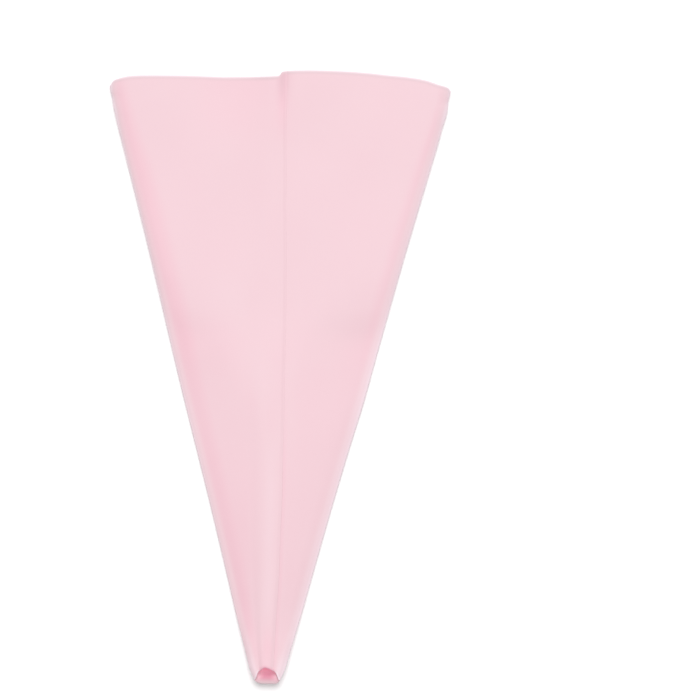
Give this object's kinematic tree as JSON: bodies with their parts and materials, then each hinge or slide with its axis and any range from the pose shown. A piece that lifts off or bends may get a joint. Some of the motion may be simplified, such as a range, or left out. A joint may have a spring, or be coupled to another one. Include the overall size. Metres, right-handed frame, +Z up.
{
  "type": "piping bag",
  "caption": "Soft translucent cone-shaped piping bag lying flat, with a lap seam down the front, an open mouth that folds back as a cuff and a cut nozzle tip.",
  "frame": {"origin": "under the middle of the flat bag, on the surface that its back ply lies on", "axes": "+Y from the nozzle tip to the mouth, +X across the flat width to the right seen from the front, +Z up from the back ply to the front ply with the lap"},
  "size_m": [0.17, 0.305, 0.0077],
  "materials": {
    "film": "frosted matte pink film, slightly translucent",
    "seam_bond": "clear pink weld, matte"
  },
  "bodies": {
    "bag_body": {"film_body": "film", "seam_bond_body": "seam_bond"},
    "cuff": {"film_cuff": "film", "seam_bond_cuff": "seam_bond"}
  },
  "joints": [
    {"name": "cuff_fold", "type": "hinge", "parent": "bag_body", "child": "cuff", "pos_m": [0, 0.0675, 0.00825], "axis": [1, 0, 0], "range_deg": [0, 170]}
  ]
}
